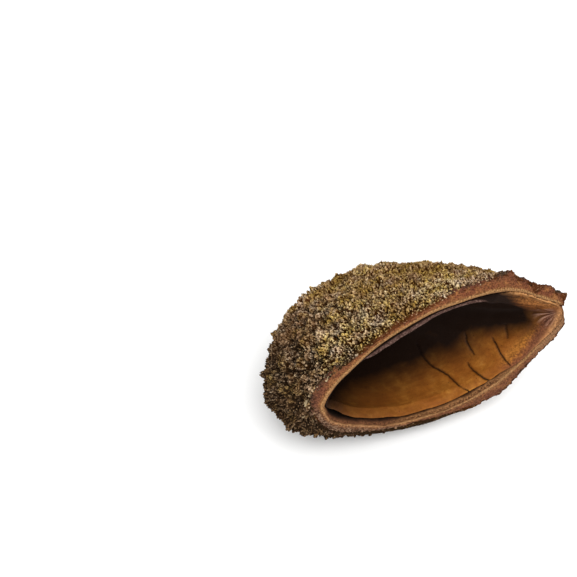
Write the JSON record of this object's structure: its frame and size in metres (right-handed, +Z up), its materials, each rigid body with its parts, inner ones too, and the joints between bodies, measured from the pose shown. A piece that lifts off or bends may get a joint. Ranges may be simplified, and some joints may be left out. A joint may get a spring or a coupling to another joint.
{
  "type": "dried bolsa pod half",
  "caption": "Open half of a dried bolsa pod: a boat-shaped woody shell with a knobbly crust, a bare brown rim and a smooth hollow.",
  "frame": {"origin": "bottom centre of the half's box, on the ground it lies on", "axes": "+X from the base to the raised tip, the mouth looks along -Y and leans back a little, +Z up"},
  "size_m": [0.0952, 0.0516, 0.0566],
  "materials": {
    "woody_shell": "matte and rough on the crust, smooth and satin on the lining"
  },
  "bodies": {
    "root": {"pod_half": "woody_shell"}
  },
  "joints": []
}
